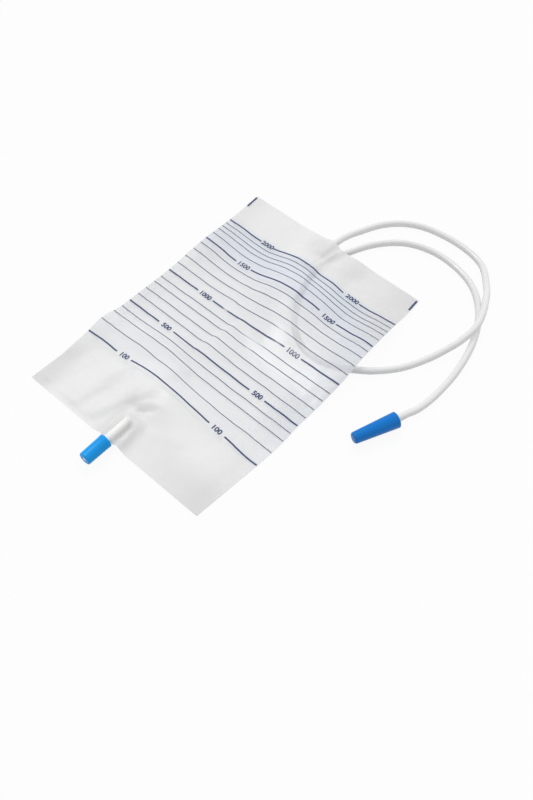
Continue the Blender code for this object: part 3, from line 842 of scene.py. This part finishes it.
class BAG_OT_stage(bpy.types.Operator):
    """Makes the floor, the lights and the camera"""

    bl_idname = "drainage_bag.stage"
    bl_label = "Stage"

    def execute(self, context):
        settings = context.scene.bag_stage
        make_camera()
        make_lights(settings)
        paint = linear(settings.floor_paint)
        material, tree, shader = new_material("studio_floor_matte_paint", paint, 1, 1.5)
        shader.inputs["Specular IOR Level"].default_value = 0
        # The eye, gloss and clear things see the backdrop's white over the paint, so a shadow is faint on it
        rays = add_node(tree, "ShaderNodeLightPath").outputs
        seen = rays["Is Camera Ray"]
        for other in ("Is Glossy Ray", "Is Transmission Ray"):
            either = {0: seen, 1: rays[other]}
            seen = add_node(tree, "ShaderNodeMath", {"operation": "MAXIMUM"}, either).outputs["Value"]
        part = settings.backdrop_share
        share = add_node(tree, "ShaderNodeMath", {"operation": "MULTIPLY", 1: part}, {0: seen})
        paint_seen = (settings.sky + settings.key * TOWARD_KEY.z / math.pi) * paint[0]
        white = (linear(settings.floor)[0] - (1 - part) * paint_seen) / part
        glow = add_node(tree, "ShaderNodeEmission", {"Color": (1, 1, 1, 1), "Strength": white})
        sides = {0: share.outputs["Value"], 1: shader.outputs["BSDF"], 2: glow.outputs["Emission"]}
        both = add_node(tree, "ShaderNodeMixShader", links=sides)
        tree.links.new(tree.nodes["Material Output"].inputs["Surface"], both.outputs["Shader"])
        points = [(a * FLOOR_HALF, b * FLOOR_HALF, 0) for a, b in ((-1, -1), (1, -1), (1, 1), (-1, 1))]
        floor = mesh_object("floor", points, [(0, 1, 2, 3)], material)
        floor.location.z = FLOOR_Z * MM
        return {"FINISHED"}


class BAG_OT_tube(bpy.types.Operator):
    """Makes the inlet tube: a clear tube, 0.9 m long, in its loop"""

    bl_idname = "drainage_bag.tube"
    bl_label = "Inlet tube"

    def execute(self, context):
        settings = context.scene.bag_tube
        places = [in_world(*p) for p in TUBE_ROUTE + [connector_place(CONNECTOR_START - FIT_GAP)]]
        extended = [2 * places[0] - places[1], *places, 2 * places[-1] - places[-2]]
        for name, radius, haze in (
            ("inlet_tube_wall", TUBE_R, settings.haze),
            ("inlet_tube_bore", BORE_R, settings.haze * BORE_HAZE),
        ):
            curve = bpy.data.curves.new(name, "CURVE")
            curve.dimensions = "3D"
            curve.bevel_depth = radius * MM
            curve.bevel_resolution = 8
            curve.resolution_u = 10
            spline = curve.splines.new("BEZIER")
            spline.bezier_points.add(len(places) - 1)
            for i, point in enumerate(spline.bezier_points):
                before, here, after = extended[i : i + 3]
                lean = (after - before) / 6
                point.handle_left_type = point.handle_right_type = "FREE"
                point.co, point.handle_left, point.handle_right = here, here - lean, here + lean
            curve.materials.append(tube_material(settings, f"pvc_extruded_{name}", haze))
            thing = placed(name, curve)
            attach(thing, "bag")
        return {"FINISHED"}


class BAG_OT_films(bpy.types.Operator):
    """Makes the front and the back film, welded along their edges"""

    bl_idname = "drainage_bag.films"
    bl_label = "Films"

    def execute(self, context):
        settings = context.scene.bag_film
        x, y = film_grid(settings.grid_step)
        under, _ = films_at(x, y)
        front_z, back_z = front_height(x, y) - FILM_THICK / 2, under + FILM_THICK / 2
        for part, name, node, z, haze in (
            ("front", "front_sheet", "front_film", front_z, settings.front_haze),
            ("back", "back_sheet", "back_film", back_z, settings.back_haze),
        ):
            material = film_material(settings, f"pvc_film_calendered_{part}", haze)
            thing = film_object(name, x, y, z, material)
            add_values(thing, "cling", clear_share(x, y, part == "front"))
            add_values(thing, "print_tint", tint_share(x, y))
            add_values(thing, "matt", matt_share(x, y))
            # Painted shade, darker towards the sides and corners and along creases
            add_values(thing, "grey", grey_share(x, y))
            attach(thing, "bag")
            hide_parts(node)
        return {"FINISHED"}


class BAG_OT_valve(bpy.types.Operator):
    """Makes the non-return valve: two flaps of film inside the bag, round the tube's end"""

    bl_idname = "drainage_bag.valve"
    bl_label = "Non-return valve"

    def execute(self, context):
        settings = context.scene.bag_film
        middle_x = TUBE_ROUTE[0][0]
        across = np.linspace(-VALVE_HALF_WIDTH, VALVE_HALF_WIDTH, 25)
        x, y = np.meshgrid(middle_x + across, np.linspace(*VALVE_ENDS, 30))
        under, top = films_at(x, y)
        opened = soft_step((y - VALVE_OPENS_AT) / OPENING_RUN)
        apart = VALVE_GAP + lens(x - middle_x, *VALVE_OPENING) * opened + VALVE_FLAP
        material = film_material(settings, "pvc_film_calendered_valve", VALVE_HAZE)
        middle = (under + top) / 2
        upper = film_object("valve_upper_flap", x, y, middle + apart, material)
        lower = film_object("valve_lower_flap", x, y, middle - apart, material)
        for thing in (upper, lower):
            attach(thing, "bag")
        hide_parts("non_return_valve")
        return {"FINISHED"}


class BAG_OT_scale(bpy.types.Operator):
    """Prints the measuring scale on the front film: lines, plain numbers and the two corner marks"""

    bl_idname = "drainage_bag.scale"
    bl_label = "Printed scale"

    def execute(self, context):
        settings = context.scene.bag_print
        ink = ink_material("navy_ink_screen_printed", settings.ink)
        fine_ink = ink_material("grey_ink_screen_printed", settings.fine_ink)
        thick, thin = [], []
        for value, y in SCALE_LINES.items():
            left, right = edges_at(y)
            left, right = left + LINE_END_GAP, right - LINE_END_GAP
            if value in NUMBERED:
                first, second = NUMBERED[value][:2]
                spans = ((left, first[0]), (first[1], second[0]), (second[1], right))
                thick += [((a, y), (b, y)) for a, b in spans]
            else:
                thin.append(((left, y), (right, y)))
        marks = [
            [(edges_at(y)[side] + inward, y) for y in CORNER_MARK]
            for side, inward in ((0, CORNER_MARK_INSIDE), (1, -CORNER_MARK_INSIDE))
        ]
        pieces = [
            printed_lines("scale_main_lines", thick, settings.thick, ink),
            printed_lines("scale_fine_lines", thin, settings.thin, fine_ink),
            printed_lines("corner_marks", marks, CORNER_MARK_WIDTH, ink),
            printed_numbers("scale_numbers", settings.numeral, ink),
        ]
        for piece in pieces:
            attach(piece, "bag")
        return {"FINISHED"}


def printed_lines(name, lines, width, material):
    """Ribbons of ink that follow the front film, a hair above it."""
    points, faces, ink_under_glare = [], [], []
    for start, end in lines:
        start, end = np.array(start, float), np.array(end, float)
        length = np.linalg.norm(end - start)
        along = (end - start) / length
        aside = np.array((-along[1], along[0]))
        count = max(2, round(length / INK_STEP) + 1)
        middle = start + np.linspace(0, length, count)[:, None] * along
        first = len(points)
        for share in (-0.5, 0, 0.5):
            side = middle + aside * share * width
            side_y = side[:, 1] + printed_at(middle[:, 0], middle[:, 1])
            z = front_height(side[:, 0], side_y) + INK_ABOVE
            points += [in_world(*p) for p in zip(side[:, 0], side_y, z)]
            ink_under_glare += list(ink_shown(side[:, 0], side[:, 1]))
        for k in range(2):
            a = first + k * count
            faces += [(a + i, a + i + 1, a + count + i + 1, a + count + i) for i in range(count - 1)]
    thing = mesh_object(name, points, faces, material)
    add_values(thing, "ink_under_glare", ink_under_glare)
    return thing


def printed_numbers(name, height, material):
    """Plain numerals laid on the front film, one in each gap of the main lines."""
    joined = bmesh.new()
    ink_under_glare = []
    for value, (*_, first, second) in NUMBERED.items():
        for column in (first, second):
            text = bpy.data.curves.new(f"numeral_{value}", "FONT")
            text.body = str(value)
            text.align_x = text.align_y = "CENTER"
            text.size, text.offset = height * FONT_SIZE, height * FONT_OFFSET
            text.space_character = 1.02
            thing = placed("numeral", text)
            bpy.context.view_layer.update()
            depsgraph = bpy.context.evaluated_depsgraph_get()
            flat = bpy.data.meshes.new_from_object(thing.evaluated_get(depsgraph))
            bpy.data.objects.remove(thing)
            shape = bmesh.new()
            shape.from_mesh(flat)
            for _ in range(3):
                long_edges = [e for e in shape.edges if e.calc_length() > NUMERAL_EDGE]
                bmesh.ops.subdivide_edges(shape, edges=long_edges, cuts=1)
                bmesh.ops.triangulate(shape, faces=shape.faces)
            line_y = SCALE_LINES[value]
            x = np.array([v.co.x for v in shape.verts]) + column
            y = np.array([v.co.y for v in shape.verts]) + line_y
            y = y + printed_at(x, np.full(x.shape, line_y))
            z = front_height(x, y) + INK_ABOVE
            ink_under_glare += list(ink_shown(x, y))
            places = zip(shape.verts, x, y, z)
            made = {vertex: joined.verts.new(in_world(*place)) for vertex, *place in places}
            for face in shape.faces:
                joined.faces.new([made[v] for v in face.verts])
            shape.free()
            bpy.data.meshes.remove(flat)
    numbers = from_shape(name, joined, material)
    add_values(numbers, "ink_under_glare", ink_under_glare)
    return numbers


class BAG_OT_outlet(bpy.types.Operator):
    """Makes the outlet: the white stem and the blue sleeve that slides on it"""

    bl_idname = "drainage_bag.outlet"
    bl_label = "Outlet"

    def execute(self, context):
        settings = context.scene.bag_fittings
        white = moulded_material("polypropylene_moulded_white", settings.white, 0.38, 1.49)
        blue = moulded_material("polyethylene_moulded_blue", settings.sleeve_blue, 0.34, 1.51, WAXY)
        end = SLEEVE_LENGTH
        profile = arc((5.95, 0.5), 0.5, -90, 0, 5) + [(6.45, 1.9)]
        profile += arc((6.35, 2), 0.12, 0, 60, 3) + [(6.3, 2.3)]
        profile += arc((4.6, end - 1.4), 1.4, 5, 90)
        profile += [(2.75, end), (2.65, end - 0.1), (2.65, end - 3), (3.2, end - 3.8), (4.45, end - 7)]
        profile += [(4.75, end - 8.4), (4.75, 4.2), (4.3, 3.6), (4.3, 0.6), (4.7, 0)]
        place = in_world(OUTLET_X, SLEEVE_WIDE_Y, OUTLET_Z)
        sleeve = turned("outlet_sleeve_look", profile, place, (0, -1, 0), blue)
        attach(sleeve, "sleeve")
        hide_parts("outlet_sleeve")
        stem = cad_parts["outlet_stem"]
        stem.data.materials.clear()
        stem.data.materials.append(white)
        return {"FINISHED"}


class BAG_OT_connector(bpy.types.Operator):
    bl_idname = "drainage_bag.connector"
    bl_label = "Connector and cap"

    def execute(self, context):
        settings = context.scene.bag_fittings
        white = moulded_material("polypropylene_moulded_white_taper", settings.white, 0.3, 1.49)
        blue = moulded_material("polyethylene_moulded_blue_cap", settings.cap_blue, 0.28, 1.51, WAXY)
        step_length = (CONNECTOR_LENGTH - 9) / 3
        profile = [(2.2, 0), (4.6, 0), (4.9, 0.4), (4.9, 8), (4.4, 8.6)]
        for i in range(3):
            start = 8.6 + i * step_length
            profile += [(4.35 - 0.42 * i, start + 0.9), (3.95 - 0.42 * i, start + step_length - 0.4)]
        profile += [(2.75, CONNECTOR_LENGTH), (1.9, CONNECTOR_LENGTH)]
        axis = (*CAP_AXIS, 0)
        taper = turned("connector_taper", profile, in_world(*connector_place(CONNECTOR_START)), axis, white)
        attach(taper, "bag")
        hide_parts("tube_connector")
        length = CAP_LENGTH
        profile = [(0, length)] + arc((3.1, length - 2.2), 2.2, 90, 5)
        profile += arc((6.5, 0.85), 0.85, 5, -90) + [(5.9, 0), (5.4, 0.5), (5.4, 11)]
        profile += [(3.9, length - 3.2), (3.1, length - 2.4), (0, length - 2.4)]
        cap = turned("connector_cap_look", profile, in_world(*CAP_WIDE, CAP_Z), axis, blue)
        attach(cap, "cap")
        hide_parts("connector_cap")
        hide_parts("inlet_tube")
        return {"FINISHED"}


class BAG_OT_declare(bpy.types.Operator):
    bl_idname = "drainage_bag.declare"
    bl_label = "Declare the sheets"

    def execute(self, context):
        return {"FINISHED"}


class BAG_PT_panel(bpy.types.Panel):
    """Lists the pieces of the drainage bag"""

    bl_idname = "BAG_PT_panel"
    bl_label = "Drainage bag"
    bl_space_type = "VIEW_3D"
    bl_region_type = "UI"
    bl_category = "Drainage bag"

    def draw(self, context):
        for operator in OPERATORS:
            self.layout.operator(operator.bl_idname)
        for holder, group in SETTINGS.items():
            box = self.layout.box()
            for name in group.__annotations__:
                box.prop(getattr(context.scene, holder), name)


SETTINGS = {
    "bag_stage": BagStageSettings,
    "bag_tube": BagTubeSettings,
    "bag_film": BagFilmSettings,
    "bag_print": BagPrintSettings,
    "bag_fittings": BagFittingSettings,
}
OPERATORS = (
    BAG_OT_stage, BAG_OT_tube, BAG_OT_films, BAG_OT_valve, BAG_OT_scale, BAG_OT_outlet, BAG_OT_connector,
    BAG_OT_declare,
)


def register():
    for holder, group in SETTINGS.items():
        bpy.utils.register_class(group)
        setattr(bpy.types.Scene, holder, PointerProperty(type=group))
    for operator in OPERATORS:
        bpy.utils.register_class(operator)
    bpy.utils.register_class(BAG_PT_panel)


def unregister():
    bpy.utils.unregister_class(BAG_PT_panel)
    for operator in reversed(OPERATORS):
        bpy.utils.unregister_class(operator)
    for holder, group in SETTINGS.items():
        delattr(bpy.types.Scene, holder)
        bpy.utils.unregister_class(group)


def main():
    register()
    bpy.context.scene.view_settings.view_transform = "Standard"
    bpy.ops.drainage_bag.stage()
    bpy.ops.drainage_bag.tube()
    bpy.ops.drainage_bag.films()
    bpy.ops.drainage_bag.valve()
    bpy.ops.drainage_bag.scale()
    bpy.ops.drainage_bag.outlet()
    bpy.ops.drainage_bag.connector()
    bpy.ops.drainage_bag.declare()


if __name__ == "__main__":
    main()
